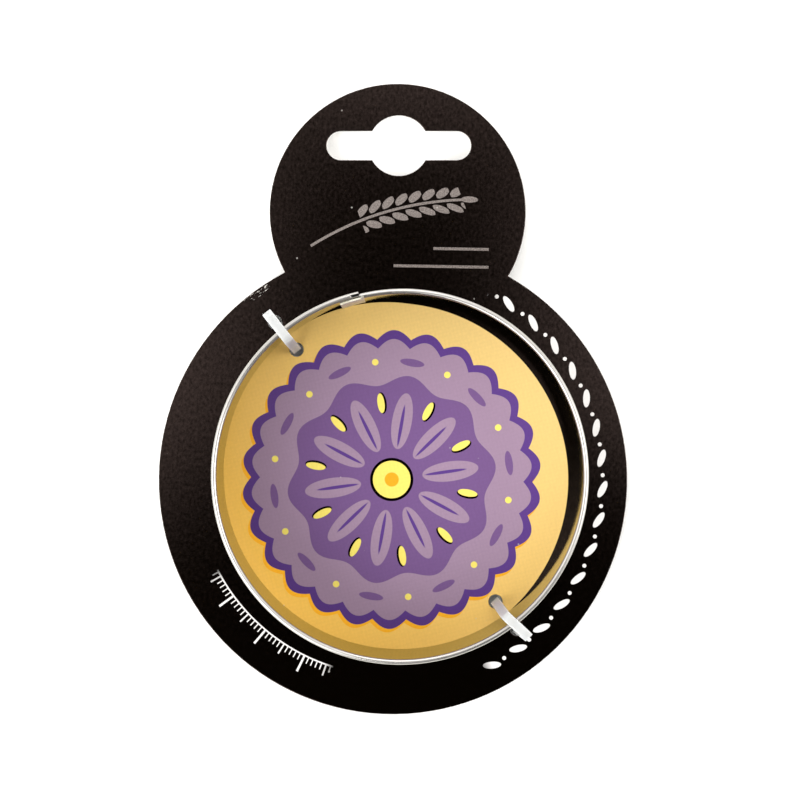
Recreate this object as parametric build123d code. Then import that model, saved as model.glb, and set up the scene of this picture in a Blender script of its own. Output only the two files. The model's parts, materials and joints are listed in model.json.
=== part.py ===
from build123d import *
import math
import os

# A round biscuit cutter as it hangs in a shop: a steel band on a die-cut card, held by two cable
# ties. It lies on its back. +Z is the way the card's printed face looks, +Y runs from the round of
# the card to its hanging lobe. The origin is the middle of the footprint, on the surface it lies on.

# Steel band
cutter_inner_diameter = 75.0
band_height = 25.0
band_thickness = 0.35
bead_diameter = 1.1
curl_turn = 283.0
edge_land = 0.15
edge_bevel_height = 0.6

# Lapped seam of the band, angles counted about its own axis
seam_angle = 103.8
blend_turn = 75.0
lap_length = 4.2
lap_gap = 0.17
bead_end_gap = 0.3
tab_drop = 0.75

# Spot welds that hold the lap
weld_diameter = 1.3
weld_columns = 2
weld_rows = 3
weld_dimple_depth = 0.08

# Card: a round that shows past the band on every side, and a lobe with the hanging slot
card_margin = 12.35
card_lobe_diameter = 54.5
card_lobe_clear = 7.25
card_thickness = 0.8
hang_slot_rise = 14.1
hang_slot_length = 30.8
hang_slot_height = 6.2
hang_slot_circle = 12.9
hang_slot_turn = 1.0
tie_hole_diameter = 3.0

# Where the band and the tie holes sit on the card, from the middle of its round
band_offset_x = 1.45
band_offset_y = 1.6
holes_offset_x = 0.64
holes_offset_y = 0.97
holes_angle = 129.3

# Cable ties
strap_width = 2.0
strap_thickness = 0.9
strap_end_bend = 0.9
strap_rim_bend = 1.2
strap_slack_bend = 8.0
hole_to_wall = 3.7
strap_back_play = 0.1
band_play = 1.15
rim_play = 0.4
rim_fall = 0.25
rib_pitch = 0.5
rib_groove = 0.22
rib_depth = 0.12
rib_rail = 0.25
head_length = 4.6
head_width = 4.4
head_height = 3.0
head_round = 0.4
head_slot_play = 0.3
head_slot_side_play = 0.2
tail_recess = 0.25
pawl_gap = 0.06

# How far each strap's shoulder stands out past its outer hole, and how far it leans in degrees
upper_tie_shoulder = 1.2
upper_tie_lean = -0.7
lower_tie_shoulder = 0.4
lower_tie_lean = 0.65

# One overrun for every cut, and a whole turn in degrees
overrun = 1.0
full_turn = 360

# Worked out from the sizes above
inner_radius = cutter_inner_diameter / 2
bead_radius = bead_diameter / 2
round_radius = inner_radius + card_margin
lobe_radius = card_lobe_diameter / 2
lobe_rise = round_radius + card_lobe_clear
round_y = (round_radius - lobe_rise - lobe_radius) / 2
lobe_y = round_y + lobe_rise
card_back = head_height
card_front = card_back + card_thickness
band_x = band_offset_x
band_y = round_y + band_offset_y
holes_x = holes_offset_x
holes_y = round_y + holes_offset_y
inner_hole_radius = inner_radius + band_thickness - hole_to_wall
outer_hole_radius = inner_radius + band_thickness + hole_to_wall
tie_angles = (holes_angle, holes_angle - 180)

# The band's inner end runs in along a slightly smaller circle, until it clears the outer end
lap_inset = band_thickness + lap_gap
blend_shrink = lap_inset / (1 - math.cos(math.radians(blend_turn)))
blend_radius = inner_radius - blend_shrink
blend_start = seam_angle - blend_turn
blend_shift = math.degrees(math.asin(blend_shrink * math.sin(math.radians(blend_turn)) / blend_radius))
bead_gap_turn = math.degrees(bead_end_gap / inner_radius)
lap_turn = math.degrees(lap_length / inner_radius)
blend_sweep = blend_turn + blend_shift - bead_gap_turn
tab_sweep = blend_turn + blend_shift + lap_turn
tab_height = band_height - tab_drop


def polar(radius, angle):
    return (radius * math.cos(math.radians(angle)), radius * math.sin(math.radians(angle)))


blend_x, blend_y = polar(blend_shrink, blend_start)


def wall_points(radius, height):
    # The wall in section, from its top on the inner face down round the bevelled cutting edge
    return [
        (radius, height),
        (radius, 0),
        (radius + edge_land, 0),
        (radius + band_thickness, edge_bevel_height),
        (radius + band_thickness, height),
    ]


def beaded_section(radius):
    # The wall with its top edge rolled outwards into a hollow bead
    middle = (radius + bead_radius, band_height - bead_radius)
    wall = Polyline(*wall_points(radius, middle[1]))
    inside = CenterArc(middle, bead_radius - band_thickness, 180, -curl_turn)
    outside = CenterArc(middle, bead_radius, 180 - curl_turn, curl_turn)
    lip = Line(inside @ 1, outside @ 0)
    return Plane.XZ * make_face([wall, inside, lip, outside])


def plain_section(radius, height):
    return Plane.XZ * make_face(Polyline(*wall_points(radius, height), close=True))


def swept_band(section, start, turn):
    return Rot(0, 0, start) * revolve(section, Axis.Z, turn)


def on_blend(shape):
    return Pos(blend_x, blend_y, 0) * shape


def weld_places():
    # Angle about the band's axis and height of each weld, spread evenly over the lap
    places = []
    for column in range(weld_columns):
        angle = seam_angle + lap_turn * (column + 0.5) / weld_columns
        for row in range(weld_rows):
            places.append((angle, tab_height * (row + 0.5) / weld_rows))
    return places


def lap_radius(angle):
    # How far the inner face of the lap's inner end lies from the band's axis
    turn = math.radians(angle - blend_start)
    return blend_shrink * math.cos(turn) + math.sqrt(
        blend_radius**2 - (blend_shrink * math.sin(turn)) ** 2
    )


def weld_dimples():
    # The dents that the electrodes leave on both faces of the lap
    dent_radius = weld_diameter / 2
    ball_radius = (dent_radius**2 + weld_dimple_depth**2) / (2 * weld_dimple_depth)
    reach = ball_radius - weld_dimple_depth
    dents = []
    for angle, height in weld_places():
        inside = polar(lap_radius(angle) - reach, angle)
        outside = polar(inner_radius + band_thickness + reach, angle)
        dents.append(Pos(*inside, height) * Sphere(ball_radius))
        dents.append(Pos(*outside, height) * Sphere(ball_radius))
    return dents


def cutter_band():
    outer_run = swept_band(beaded_section(inner_radius), seam_angle, full_turn - blend_turn)
    inner_run = on_blend(swept_band(beaded_section(blend_radius), blend_start, blend_sweep))
    tab = on_blend(swept_band(plain_section(blend_radius, tab_height), blend_start, tab_sweep))
    return (outer_run + inner_run + tab) - weld_dimples()


def seam_spot_welds():
    # Nuggets that fill the gap between the two ends of the band
    under_outer = Pos(0, 0, band_height / 2) * Cylinder(inner_radius, band_height)
    over_inner = on_blend(
        Pos(0, 0, band_height / 2) * Cylinder(blend_radius + band_thickness, band_height)
    )
    gap = under_outer - over_inner
    nuggets = []
    for angle, height in weld_places():
        x, y = polar(inner_radius, angle)
        rod = Pos(x, y, height) * Rot(0, 0, angle) * Rot(0, 90, 0)
        nuggets.append((rod * Cylinder(weld_diameter / 2, weld_diameter)) & gap)
    return nuggets


def on_card(shape):
    return Pos(band_x, band_y, card_front) * shape


def hang_slot():
    # A long slot with a circle in its middle, punched a little off square to the card
    slot = SlotOverall(hang_slot_length, hang_slot_height) + Circle(hang_slot_circle / 2)
    return Pos(0, lobe_y + hang_slot_rise) * Rot(0, 0, hang_slot_turn) * slot


def tie_holes():
    holes = []
    for angle in tie_angles:
        for radius in (inner_hole_radius, outer_hole_radius):
            x, y = polar(radius, angle)
            holes.append(Pos(holes_x + x, holes_y + y) * Circle(tie_hole_diameter / 2))
    return holes


def hang_card():
    outline = Pos(0, round_y) * Circle(round_radius)
    outline += Pos(0, lobe_y) * Circle(lobe_radius)
    outline -= [hang_slot()] + tie_holes()
    return Pos(0, 0, card_back) * extrude(outline, card_thickness)


def strap_path(shoulder):
    # Middle line of a closed tie, out from the holes' middle along X: from the head along the
    # back of the card, up the inner hole, over the rim and down the outer hole into the head
    root_x = outer_hole_radius - head_length / 2 + strap_end_bend / 2
    back_z = card_back - strap_back_play - strap_thickness / 2
    leg_z = card_front + strap_end_bend
    rim_x = inner_radius - band_play - strap_thickness / 2
    rim_z = card_front + band_height + rim_play + strap_thickness / 2
    return FilletPolyline(
        (root_x, 0, back_z),
        (inner_hole_radius, 0, back_z),
        (inner_hole_radius, 0, leg_z),
        (rim_x, 0, rim_z),
        (outer_hole_radius + shoulder, 0, rim_z - rim_fall),
        (outer_hole_radius, 0, leg_z),
        (outer_hole_radius, 0, tail_recess),
        radius=[strap_end_bend, strap_slack_bend, strap_rim_bend, strap_rim_bend, strap_slack_bend],
    )


def strap_grooves(path):
    # The ribs on the outward face, from the top of the loop to the tail
    first = path.length - (band_height + card_back + outer_hole_radius - inner_hole_radius)
    count = int((path.length - first) / rib_pitch)
    grooves = []
    for i in range(count):
        share = (first + (i + 0.5) * rib_pitch) / path.length
        along = path % share
        outward = along.cross(Vector(0, 1, 0))
        middle = (path @ share) + outward * (strap_thickness / 2)
        groove = Box(rib_groove, strap_width - 2 * rib_rail, 2 * rib_depth)
        grooves.append(Plane(middle, x_dir=along, z_dir=outward) * groove)
    return grooves


def tie_strap(shoulder, lean):
    # A ribbed strap that leans aside about the line through its two holes
    path = strap_path(shoulder)
    start = Plane(path @ 0, x_dir=(0, 1, 0), z_dir=path % 0)
    strap = sweep(start * Rectangle(strap_width, strap_thickness), path) - strap_grooves(path)
    card_middle = Pos(0, 0, card_back + card_thickness / 2)
    return card_middle * Rot(-lean, 0, 0) * card_middle.inverse() * strap


def tie_head():
    head = Pos(outer_hole_radius, 0, head_height / 2) * Box(head_length, head_width, head_height)
    head = fillet(head.edges().filter_by(Axis.Z), head_round)
    mouth_length = strap_thickness + 2 * head_slot_play
    mouth_width = strap_width + 2 * head_slot_side_play
    mouth = Box(mouth_length, mouth_width, head_height + 2 * overrun)
    return head - Pos(outer_hole_radius, 0, head_height / 2) * mouth


def tie_pawl():
    # The tongue in the head's mouth that catches the ribs
    wall_x = outer_hole_radius + strap_thickness / 2 + head_slot_play
    tip_x = outer_hole_radius + strap_thickness / 2 + pawl_gap
    tongue = Polyline(
        (wall_x + head_slot_play, head_height * 0.85),
        (wall_x, head_height * 0.85),
        (tip_x, head_height * 0.4),
        (tip_x, head_height * 0.3),
        (wall_x, head_height * 0.25),
        (wall_x + head_slot_play, head_height * 0.25),
        close=True,
    )
    return extrude(Plane.XZ * make_face(tongue), strap_width / 2, both=True)


def cable_tie(angle, shoulder, lean):
    tie = tie_strap(shoulder, lean) + tie_head() + tie_pawl()
    return Pos(holes_x, holes_y, 0) * Rot(0, 0, angle) * tie


export_step(on_card(cutter_band()), "parts/cutter_band.step")
export_step(on_card(Compound(seam_spot_welds())), "parts/seam_spot_welds.step")
export_step(hang_card(), "parts/hang_card.step")
upper_left_tie = cable_tie(tie_angles[0], upper_tie_shoulder, upper_tie_lean)
export_step(upper_left_tie, "parts/upper_left_tie.step")
lower_right_tie = cable_tie(tie_angles[1], lower_tie_shoulder, lower_tie_lean)
export_step(lower_right_tie, "parts/lower_right_tie.step")
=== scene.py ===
# %% [markdown]
# # A round biscuit cutter, tied to its shop card
#
# The real thing is a strip of stainless steel, bent round, with its top edge rolled into a bead and
# its two ends lapped and spot welded. It hangs in the shop on a black laminated card, held by two
# cable ties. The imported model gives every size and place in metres, so the first step loads it and
# measures it, and each new piece is then modelled where the model says.

import json
import math

import bmesh
import bpy
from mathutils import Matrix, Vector


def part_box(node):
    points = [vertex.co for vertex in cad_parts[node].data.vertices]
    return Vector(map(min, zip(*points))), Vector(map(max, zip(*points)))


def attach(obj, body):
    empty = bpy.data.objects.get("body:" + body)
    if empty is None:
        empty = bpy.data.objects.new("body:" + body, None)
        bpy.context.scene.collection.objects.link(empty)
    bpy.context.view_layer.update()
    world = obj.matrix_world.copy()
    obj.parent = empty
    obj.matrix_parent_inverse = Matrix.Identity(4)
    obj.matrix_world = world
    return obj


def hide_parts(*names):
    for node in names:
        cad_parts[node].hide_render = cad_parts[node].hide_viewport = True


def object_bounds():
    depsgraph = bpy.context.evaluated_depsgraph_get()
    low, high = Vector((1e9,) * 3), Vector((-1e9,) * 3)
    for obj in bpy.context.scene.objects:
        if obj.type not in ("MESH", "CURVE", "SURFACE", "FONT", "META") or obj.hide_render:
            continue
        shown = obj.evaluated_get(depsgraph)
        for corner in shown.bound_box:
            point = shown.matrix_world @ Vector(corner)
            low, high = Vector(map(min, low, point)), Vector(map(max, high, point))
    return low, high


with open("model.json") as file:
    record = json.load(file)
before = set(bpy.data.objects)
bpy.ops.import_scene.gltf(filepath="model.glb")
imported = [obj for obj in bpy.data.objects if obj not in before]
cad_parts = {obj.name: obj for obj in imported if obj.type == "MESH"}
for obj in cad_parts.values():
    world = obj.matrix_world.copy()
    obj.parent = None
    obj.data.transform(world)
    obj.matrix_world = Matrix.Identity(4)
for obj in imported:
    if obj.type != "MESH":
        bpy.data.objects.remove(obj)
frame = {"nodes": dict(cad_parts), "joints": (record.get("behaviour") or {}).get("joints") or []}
cad_low, cad_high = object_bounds()
MM = 0.001


def in_mm(vector):
    return [round(c / MM, 2) for c in vector]


print("CAD box in mm", in_mm(cad_low), in_mm(cad_high))

# %% [markdown]
# ## Sizes that the frame gives
#
# The card is a round with a smaller lobe on top, so its box gives the middle of both. The joint
# gives the axis that the ring turns on. Reading them from the frame keeps the looks in step with the
# model if a size changes there.

# %% Read the card and the ring
LOBE_RADIUS = 27.25 * MM

card_low, card_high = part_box("hang_card")
band_low, band_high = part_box("cutter_band")
round_radius = (card_high.x - card_low.x) / 2
round_middle = Vector(((card_low.x + card_high.x) / 2, card_low.y + round_radius, card_high.z))
lobe_middle = Vector((round_middle.x, card_high.y - LOBE_RADIUS, card_high.z))
ring_axis = Vector(frame["joints"][0]["pos_m"])
band_height = band_high.z - band_low.z
print("card round", in_mm(round_middle), "ring axis", in_mm(ring_axis), "band height", in_mm([band_height]))

# %% [markdown]
# ## Colours and nodes
#
# A colour picked from a photograph is an sRGB value, and a shader works with linear light, so one
# function turns a hex colour to linear. Materials are built from nodes, and one small function adds a
# node: it feeds the values or the nodes that it is given to the node's sockets, in their order or by
# name, and sets the rest as settings.

# %% Helpers for materials
BUMP_STEP = 0.01 * MM


def colour(code):
    channels = [int(code[i:i + 2], 16) / 255 for i in (0, 2, 4)]
    linear = [c / 12.92 if c <= 0.04045 else ((c + 0.055) / 1.055) ** 2.4 for c in channels]
    return (*linear, 1.0)


def add_node(tree, kind, *feeds, named=None, **settings):
    node = tree.nodes.new("ShaderNode" + kind)
    for setting, value in settings.items():
        setattr(node, setting, value)
    sockets = [s for s in node.inputs if s.enabled]
    pairs = list(zip(sockets, feeds)) + [(node.inputs[name], v) for name, v in (named or {}).items()]
    for socket, value in pairs:
        if isinstance(value, bpy.types.Node):
            value = next(s for s in value.outputs if s.enabled)
        if isinstance(value, bpy.types.NodeSocket):
            tree.links.new(value, socket)
        elif value is not None:
            socket.default_value = value
    return node


def new_material(name):
    material = bpy.data.materials.new(name)
    material.use_nodes = True
    material.node_tree.nodes.clear()
    return material, material.node_tree


def close_material(tree, surface):
    add_node(tree, "OutputMaterial", surface)
    print("material with", len(tree.nodes), "nodes")


# %% [markdown]
# ## Helpers for modelling
#
# Blender's operators act on whatever is selected, so a script has to select as carefully as a hand
# does. `open_piece` names the newest object, moves its place into its mesh and opens edit mode, and
# `pick` selects the vertices, edges or faces that pass a test. `slice_all` cuts new edges where a
# plane crosses the piece. `close_piece` merges what lies together, turns the faces outwards and smooths
# the shading.

# %% Select and finish by code
NEAR = 0.001 * MM
SMOOTH_ANGLE = math.radians(35)
SQUARE_ON = 0.9


def only(piece):
    bpy.ops.object.select_all(action="DESELECT")
    piece.select_set(True)
    bpy.context.view_layer.objects.active = piece


def settle(piece):
    only(piece)
    bpy.ops.object.transform_apply(location=True, rotation=True, scale=True)


def open_piece(name):
    piece = bpy.context.object
    piece.name = piece.data.name = name
    settle(piece)
    bpy.ops.object.mode_set(mode="EDIT")
    bpy.ops.mesh.select_mode(type="VERT")
    return piece


def middle(part):
    points = [part.co] if hasattr(part, "co") else [v.co for v in part.verts]
    return sum(points, Vector()) / len(points)


def pick(piece, kind, test):
    bpy.ops.mesh.select_mode(type=kind)
    shape = bmesh.from_edit_mesh(piece.data)
    parts = {"VERT": shape.verts, "EDGE": shape.edges, "FACE": shape.faces}[kind]
    found = [part for part in parts if test(part)]
    for part in (*shape.verts, *shape.edges, *shape.faces):
        part.select_set(False)
    for part in found:
        part.select_set(True)
    shape.select_flush_mode()
    bmesh.update_edit_mesh(piece.data)
    return len(found)


def slice_all(place, direction):
    bpy.ops.mesh.select_all(action="SELECT")
    bpy.ops.mesh.bisect(plane_co=place, plane_no=direction)


def apply_modifier(piece, kind, **settings):
    modifier = piece.modifiers.new(kind.lower(), kind)
    for setting, value in settings.items():
        setattr(modifier, setting, value)
    only(piece)
    bpy.ops.object.modifier_apply(modifier=modifier.name)


def close_piece(piece, turn_outwards=True):
    only(piece)
    bpy.ops.object.mode_set(mode="EDIT")
    bpy.ops.mesh.select_all(action="SELECT")
    bpy.ops.mesh.remove_doubles(threshold=NEAR)
    bpy.ops.mesh.dissolve_degenerate(threshold=NEAR)
    if turn_outwards:
        bpy.ops.mesh.normals_make_consistent(inside=False)
    bpy.ops.object.mode_set(mode="OBJECT")
    bpy.ops.object.shade_smooth_by_angle(angle=SMOOTH_ANGLE)
    print(piece.name, "has", len(piece.data.polygons), "faces")


def dress(piece, body, slot, *nodes):
    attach(piece, body)
    if nodes:
        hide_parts(*nodes)


# %% [markdown]
# ## Steel for the band
#
# The strip is stainless steel, 1.4301 or 304, cold rolled to a bright finish. Steel mirrors what is
# round it, slightly blurred, and the rolls leave fine lines along the strip. The lines are a noise
# that is stretched round the ring's axis: the angle about the axis is one coordinate and the height
# the other, so they follow the bend. Seen along its surface, steel reflects less than the shader's
# simple curve says, so the specular tint, which sets the reflection at such an angle, is an olive grey.
# Rolling the bead stretches the steel, which leaves its skin a little matt, so the bead has a rougher
# finish of the same material.

# %% Cold-rolled stainless steel
ROLL_LINE = 0.12 * MM
ROLL_LINE_LENGTH = 14 * MM
HAZE_PER_MM = 0.09


def stainless_steel(name, smooth, rough):
    material, tree = new_material(name)
    place = add_node(tree, "TexCoord").outputs["Object"]
    from_axis = add_node(tree, "VectorMath", place, tuple(ring_axis), operation="SUBTRACT")
    parts = add_node(tree, "SeparateXYZ", from_axis)
    turn = add_node(tree, "Math", parts.outputs["Y"], parts.outputs["X"], operation="ARCTAN2")
    ring_radius = (band_high.x - band_low.x) / 2
    along = add_node(tree, "Math", turn, ring_radius / ROLL_LINE_LENGTH, operation="MULTIPLY")
    across = add_node(tree, "Math", parts.outputs["Z"], 1 / ROLL_LINE, operation="MULTIPLY")
    strip = add_node(tree, "CombineXYZ", along, across)
    lines = add_node(tree, "TexNoise", strip, 1.0, 3.0, 0.6)
    haze = add_node(tree, "TexNoise", place, HAZE_PER_MM / MM, 2.0, 0.5)
    shine = add_node(tree, "Math", lines, haze, operation="MULTIPLY")
    blur = add_node(tree, "MapRange", shine, 0.1, 0.45, smooth, rough)
    tone = add_node(tree, "Mix", lines, colour("BCB9B5"), colour("CAC7C3"), data_type="RGBA")
    relief = add_node(tree, "Bump", 0.12, named={"Height": lines, "Distance": BUMP_STEP})
    settings = {"Normal": relief, "Specular Tint": colour("CACDB9")}
    steel = add_node(tree, "BsdfPrincipled", tone, 1.0, blur, named=settings)
    close_material(tree, steel)
    return material


steel = stainless_steel("stainless_steel_cold_rolled_bright", 0.03, 0.1)
bead_steel = stainless_steel("stainless_steel_rolled_into_bead", 0.24, 0.36)

# %% [markdown]
# ## Steel for the welds
#
# Where the electrodes have pressed the lap together, the same steel is duller and faintly hammered,
# and the heat leaves straw-coloured patches.

# %% Spot-welded steel
HAMMER_MARK = 0.5 * MM
STAINS_PER_MM = 0.9
HAMMER_DEPTH = 9 * BUMP_STEP
WELD_ROUGHNESS = (0.42, 0.6)


def welded_steel():
    material, tree = new_material("spot_welded_steel_heat_tinted")
    place = add_node(tree, "TexCoord").outputs["Object"]
    hammer = add_node(tree, "TexNoise", place, 1 / HAMMER_MARK, 2.0, 0.5)
    stain = add_node(tree, "TexNoise", place, STAINS_PER_MM / MM, 3.0, 0.6)
    stain_cover = add_node(tree, "MapRange", stain, 0.35, 0.7, 0.0, 1.0)
    tint = add_node(tree, "Mix", stain_cover, colour("F4F3E9"), colour("BDB598"), data_type="RGBA")
    rough = add_node(tree, "MapRange", hammer, 0.3, 0.7, *WELD_ROUGHNESS)
    relief = add_node(tree, "Bump", 1.0, named={"Height": hammer, "Distance": HAMMER_DEPTH})
    metal = add_node(tree, "BsdfPrincipled", tint, 1.0, rough, named={"Normal": relief})
    close_material(tree, metal)
    return material


weld = welded_steel()

# %% [markdown]
# ## Nylon for the ties
#
# Cable ties are moulded from natural nylon 6.6. It is milky: light goes in a little way and comes out
# again, so its shadows are soft. The surface is a satin moulding with a faint texture.

# %% Natural nylon
MOULD_GRAIN_PER_MM = 1.8
MILK_CLOUDS_PER_MM = 0.22
MILK_DEPTH = 4.0 * MM
NYLON_IOR = 1.53
NYLON_ROUGHNESS = (0.3, 0.42)


def natural_nylon():
    material, tree = new_material("natural_nylon_66_moulded")
    place = add_node(tree, "TexCoord").outputs["Object"]
    mould = add_node(tree, "TexNoise", place, MOULD_GRAIN_PER_MM / MM, 3.0, 0.5)
    milk = add_node(tree, "TexNoise", place, MILK_CLOUDS_PER_MM / MM, 2.0, 0.5)
    tone = add_node(tree, "Mix", milk, colour("AEB1B2"), colour("BFC1C0"), data_type="RGBA")
    rough = add_node(tree, "MapRange", mould, 0.3, 0.7, *NYLON_ROUGHNESS)
    relief = add_node(tree, "Bump", 0.25, named={"Height": mould, "Distance": BUMP_STEP})
    settings = {
        "Normal": relief,
        "IOR": NYLON_IOR,
        "Subsurface Weight": 1.0,
        "Subsurface Radius": (1.0, 0.97, 0.94),
        "Subsurface Scale": MILK_DEPTH,
    }
    nylon = add_node(tree, "BsdfPrincipled", tone, 0.0, rough, named=settings)
    close_material(tree, nylon)
    return material


nylon = natural_nylon()

# %% [markdown]
# ## Board under the print
#
# The card is grey board with a white liner. The die cuts through it, so its edges show the pale
# fibrous core, and its back is bare and uncoated. The core is given a darker grey than its own, as
# painted shade, so that the punched holes look shaded inside; the outer cut edges have it too.

# %% Bare board
FIBRE = 0.35 * MM
FLECKS_PER_FIBRE = 0.6


def bare_board(name, light, dark, relief_strength):
    material, tree = new_material(name)
    place = add_node(tree, "TexCoord").outputs["Object"]
    fibres = add_node(tree, "TexNoise", place, 1 / FIBRE, 5.0, 0.65, named={"Distortion": 0.6})
    flecks = add_node(tree, "TexVoronoi", place, named={"Scale": FLECKS_PER_FIBRE / FIBRE})
    fleck_cover = add_node(tree, "MapRange", flecks, 0.0, 0.12, 0.35, 0.0)
    tone = add_node(tree, "Mix", fibres, colour(dark), colour(light), data_type="RGBA")
    flecked = add_node(tree, "Mix", fleck_cover, tone, colour(dark), data_type="RGBA")
    height = {"Height": fibres, "Distance": 2 * BUMP_STEP}
    relief = add_node(tree, "Bump", relief_strength, named=height)
    board = add_node(tree, "BsdfPrincipled", flecked, 0.0, 0.85, named={"Normal": relief})
    close_material(tree, board)
    return material


# the core's darker grey is painted shade for the insides of the holes
board_core_dark_as_shade = bare_board("grey_board_core_with_painted_shade", "8A867F", "625F59", 0.6)
board_back = bare_board("white_lined_board_uncoated", "EDEBE6", "D8D5CE", 0.35)

# %% [markdown]
# ## The print
#
# The front is printed black, with a yellow field that shows inside the ring. What is printed there
# on this copy is a plain ornament: a fluted biscuit with a rosette of petals and sprinkles, an ear of
# wheat in silver ink on the lobe, a row of leaves and dots down the right and a ruler at the lower
# left. Each shape is drawn by a formula, in millimetres, that is above zero inside the shape. `ink`
# then lays one colour over those below it, with an edge as sharp as print. A formula stays sharp at
# any distance, where a painted picture would blur.

# %% Draw with formulas
INK_EDGE = 0.03


def ink(tree, under, reach, tint):
    cover = add_node(tree, "MapRange", reach, -INK_EDGE, INK_EDGE, 0.0, 1.0)
    return add_node(tree, "Mix", cover, under, tint, data_type="RGBA")


def placed(tree, spot, at, angle=0.0, size=(1.0, 1.0)):
    frame_of_shape = {"Location": (*at, 0.0), "Rotation": (0.0, 0.0, angle), "Scale": (*size, 1.0)}
    return add_node(tree, "Mapping", spot, named=frame_of_shape, vector_type="TEXTURE")


def polar(tree, spot):
    parts = add_node(tree, "SeparateXYZ", spot)
    radius = add_node(tree, "VectorMath", spot, operation="LENGTH")
    turn = add_node(tree, "Math", parts.outputs["Y"], parts.outputs["X"], operation="ARCTAN2")
    return radius, turn


def folded(tree, radius, turn, copies, shift=0.0):
    half = math.pi / copies
    moved = add_node(tree, "Math", turn, shift * half, operation="ADD")
    wrapped = add_node(tree, "Math", moved, half, -half, operation="WRAP")
    x = add_node(tree, "Math", wrapped, operation="COSINE")
    y = add_node(tree, "Math", wrapped, operation="SINE")
    unit = add_node(tree, "CombineXYZ", x, y)
    return add_node(tree, "VectorMath", unit, named={"Scale": radius}, operation="SCALE")


def oval(tree, spot, at, angle, half_length, half_width):
    local = placed(tree, spot, at, angle, (half_length, half_width))
    radius = add_node(tree, "VectorMath", local, operation="LENGTH")
    inside = add_node(tree, "Math", 1.0, radius, operation="SUBTRACT")
    return add_node(tree, "Math", inside, half_width, operation="MULTIPLY")


def disc(tree, radius, size):
    return add_node(tree, "Math", size, radius, operation="SUBTRACT")


def wavy(tree, radius, turn, size, waves, depth, cusped):
    swing = add_node(tree, "Math", turn, waves / 2 if cusped else waves, operation="MULTIPLY")
    wave = add_node(tree, "Math", swing, operation="SINE")
    bulge = add_node(tree, "Math", wave, operation="ABSOLUTE") if cusped else wave
    edge = add_node(tree, "Math", bulge, depth, size, operation="MULTIPLY_ADD")
    return add_node(tree, "Math", edge, radius, operation="SUBTRACT")


def both(tree, first, second):
    return add_node(tree, "Math", first, second, operation="MINIMUM")


def either(tree, first, second):
    return add_node(tree, "Math", first, second, operation="MAXIMUM")


def between(tree, value, low, high):
    offset = add_node(tree, "Math", value, (low + high) / 2, operation="SUBTRACT")
    size = add_node(tree, "Math", offset, operation="ABSOLUTE")
    return add_node(tree, "Math", (high - low) / 2, size, operation="SUBTRACT")


# %% [markdown]
# ## The biscuit on the yellow field
#
# The yellow field is as wide as the cutter, 75 mm, and round the middle of the card. It turns from
# yellow at the upper right to gold at the lower left: partly a tone of the print, and partly
# painted shade, where the ring's wall would shade the field. Beside the ring's seam a second,
# smaller circle lets it reach 0.4 mm further out. The biscuit has a fluted edge, which is the
# absolute value of a sine round its rim. Petals and sprinkles are ovals in one sector, folded round
# the middle as often as they repeat, and all of it is darkened towards the lower left like the
# field, as the same mix of printed tone and painted shade. An oval is given by its half length and
# half width, and those on one circle share the circle's radius.

# %% Inks of the biscuit
FIELD_RADIUS = 37.55
BISCUIT_RADIUS = 29.9
FLUTES = 26
FLUTE_DEPTH = 1.9
BORDER = 1.9
ICING_INSIDE = 21.2
ICING_WAVE = 1.1
SHADOW_AT = (-0.45, -0.75)
PETALS = 10
PETAL_AT = 12.6
PETAL = (6.0, 2.1)
VEIN_AT = 11.6
VEIN = (4.4, 0.35)
SPRINKLES_AT = 16.4
SPRINKLE = (2.1, 0.75)
SPRINKLE_HOLLOW = (2.3, 0.95)
HOLLOW_ASIDE = -0.25
CRUMBS_AT = 25.2
CRUMB = (0.7, 0.7)
LEAF = (2.6, 0.8)
EYE_RADII = (4.6, 4.0, 1.5)
BLACK_INK = colour("020100")
YELLOW_INK = colour("F4D389")
# gold: partly the print's tone, partly painted shade towards the lower left
GOLD_AND_SHADE_INK = colour("F0BC51")
BLEED_AT = (-1.2, 2.8)
BLEED_SMALLER = 2.65
BLEED_RADIUS = FIELD_RADIUS - BLEED_SMALLER
GOLD_AND_SHADE_TOWARDS = (-0.75, -0.6)
BISCUIT_SHADE = (1.1, 0.72)
ORANGE_INK = colour("F3AE2C")
PURPLE_INK = colour("785A8C")
DEEP_PURPLE_INK = colour("5F4189")
LILAC_INK = colour("A38AA2")
PALE_INK = colour("FBE873")


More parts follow.
